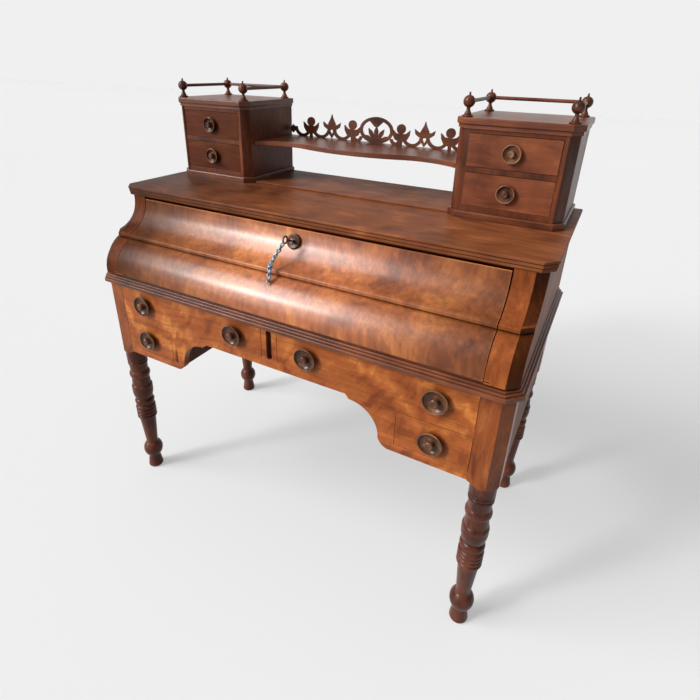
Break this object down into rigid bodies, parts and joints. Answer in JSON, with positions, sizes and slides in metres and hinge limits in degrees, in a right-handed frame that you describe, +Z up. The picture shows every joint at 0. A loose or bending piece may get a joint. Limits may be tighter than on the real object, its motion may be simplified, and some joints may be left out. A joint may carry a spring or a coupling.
{
  "type": "cylinder desk",
  "caption": "Tall writing desk on turned legs: drawers below, an ogee fall front over a fitted interior, drawer pedestals and a pierced shelf gallery on top.",
  "frame": {"origin": "on the floor, at the middle of the desk's bounding box", "axes": "+Z up, -Y towards the person writing, +X to their right"},
  "size_m": [1.235, 0.636, 1.288],
  "materials": {
    "mahogany": "french polished",
    "flame_veneer": "french polished veneer",
    "turned_wood": "polished",
    "lining_wood": "planed, waxed",
    "brass": "aged",
    "iron": "dark, handled",
    "cord": "twisted cotton"
  },
  "bodies": {
    "case": {"centre_stile": "mahogany", "desk_top": "mahogany", "drawer_runners": "lining_wood", "dust_board": "lining_wood", "fret_gallery": "turned_wood", "front_left_leg": "turned_wood", "front_rails": "mahogany", "front_right_leg": "turned_wood", "gallery_base": "mahogany", "gallery_posts": "turned_wood", "gallery_rails": "turned_wood", "keeper_rail": "lining_wood", "knee_brackets": "mahogany", "kneehole_walls": "lining_wood", "left_pedestal_case": "mahogany", "left_upper_end": "mahogany", "loper_guide": "lining_wood", "lower_back_panel": "lining_wood", "pedestal_cornices": "mahogany", "pedestal_plinths": "mahogany", "pigeonholes": "lining_wood", "pivot_bushes": "brass", "rear_left_leg": "turned_wood", "rear_right_leg": "turned_wood", "right_pedestal_case": "mahogany", "right_upper_end": "mahogany", "shelf": "turned_wood", "side_panels": "mahogany", "upper_back_panel": "lining_wood", "waist_moulding": "mahogany", "writing_bed": "mahogany"},
    "fall_front": {"lid_facing": "mahogany", "lid_panel": "mahogany", "lid_pivots": "brass", "lock_case": "iron", "escutcheon": "brass"},
    "key": {"key": "iron"},
    "lock_bolt": {"lock_bolt": "iron"},
    "key_cord": {"key_cord": "cord"},
    "loper": {"loper": "mahogany"},
    "left_wide_drawer": {"left_wide_drawer_front": "flame_veneer", "left_wide_drawer_box": "lining_wood", "left_wide_drawer_knobs": "turned_wood"},
    "left_small_drawer": {"left_small_drawer_front": "flame_veneer", "left_small_drawer_box": "lining_wood", "left_small_drawer_knobs": "turned_wood"},
    "left_lower_pedestal_drawer": {"left_lower_pedestal_drawer": "flame_veneer", "left_lower_pedestal_drawer_knob": "turned_wood"},
    "left_upper_pedestal_drawer": {"left_upper_pedestal_drawer": "flame_veneer", "left_upper_pedestal_drawer_knob": "turned_wood"},
    "right_wide_drawer": {"right_wide_drawer_front": "flame_veneer", "right_wide_drawer_box": "lining_wood", "right_wide_drawer_knobs": "turned_wood"},
    "right_small_drawer": {"right_small_drawer_front": "flame_veneer", "right_small_drawer_box": "lining_wood", "right_small_drawer_knobs": "turned_wood"},
    "right_lower_pedestal_drawer": {"right_lower_pedestal_drawer": "flame_veneer", "right_lower_pedestal_drawer_knob": "turned_wood"},
    "right_upper_pedestal_drawer": {"right_upper_pedestal_drawer": "flame_veneer", "right_upper_pedestal_drawer_knob": "turned_wood"}
  },
  "joints": [
    {"name": "fall_front_hinge", "type": "hinge", "parent": "case", "child": "fall_front", "pos_m": [0, -0.297, 0.774], "axis": [1, 0, 0], "range_deg": [0, 133.5]},
    {"name": "key_turn", "type": "hinge", "parent": "fall_front", "child": "key", "pos_m": [0, -0.1712, 0.932], "axis": [0, -0.9316, 0.3636], "range_deg": [0, 180]},
    {"name": "lock_bolt_slide", "type": "slide", "parent": "fall_front", "child": "lock_bolt", "axis": [0, 0.3636, 0.9316], "range_m": [0, 0.016]},
    {"name": "key_cord_swing", "type": "hinge", "parent": "fall_front", "child": "key_cord", "pos_m": [0, -0.2113, 0.9476], "axis": [1, 0, 0], "range_deg": [-134, 0]},
    {"name": "loper_slide", "type": "slide", "parent": "case", "child": "loper", "axis": [0, -1, 0], "range_m": [0, 0.15]},
    {"name": "left_wide_drawer_slide", "type": "slide", "parent": "case", "child": "left_wide_drawer", "axis": [0, -1, 0], "range_m": [0, 0.36]},
    {"name": "left_small_drawer_slide", "type": "slide", "parent": "case", "child": "left_small_drawer", "axis": [0, -1, 0], "range_m": [0, 0.36]},
    {"name": "left_lower_pedestal_drawer_slide", "type": "slide", "parent": "case", "child": "left_lower_pedestal_drawer", "axis": [0, -1, 0], "range_m": [0, 0.15]},
    {"name": "left_upper_pedestal_drawer_slide", "type": "slide", "parent": "case", "child": "left_upper_pedestal_drawer", "axis": [0, -1, 0], "range_m": [0, 0.15]},
    {"name": "right_wide_drawer_slide", "type": "slide", "parent": "case", "child": "right_wide_drawer", "axis": [0, -1, 0], "range_m": [0, 0.36]},
    {"name": "right_small_drawer_slide", "type": "slide", "parent": "case", "child": "right_small_drawer", "axis": [0, -1, 0], "range_m": [0, 0.36]},
    {"name": "right_lower_pedestal_drawer_slide", "type": "slide", "parent": "case", "child": "right_lower_pedestal_drawer", "axis": [0, -1, 0], "range_m": [0, 0.15]},
    {"name": "right_upper_pedestal_drawer_slide", "type": "slide", "parent": "case", "child": "right_upper_pedestal_drawer", "axis": [0, -1, 0], "range_m": [0, 0.15]}
  ],
  "couplings": [
    {"joint": "key_turn", "follows": "lock_bolt_slide", "rad_per_m": 196.3},
    {"joint": "key_cord_swing", "follows": "fall_front_hinge", "ratio": -1}
  ]
}
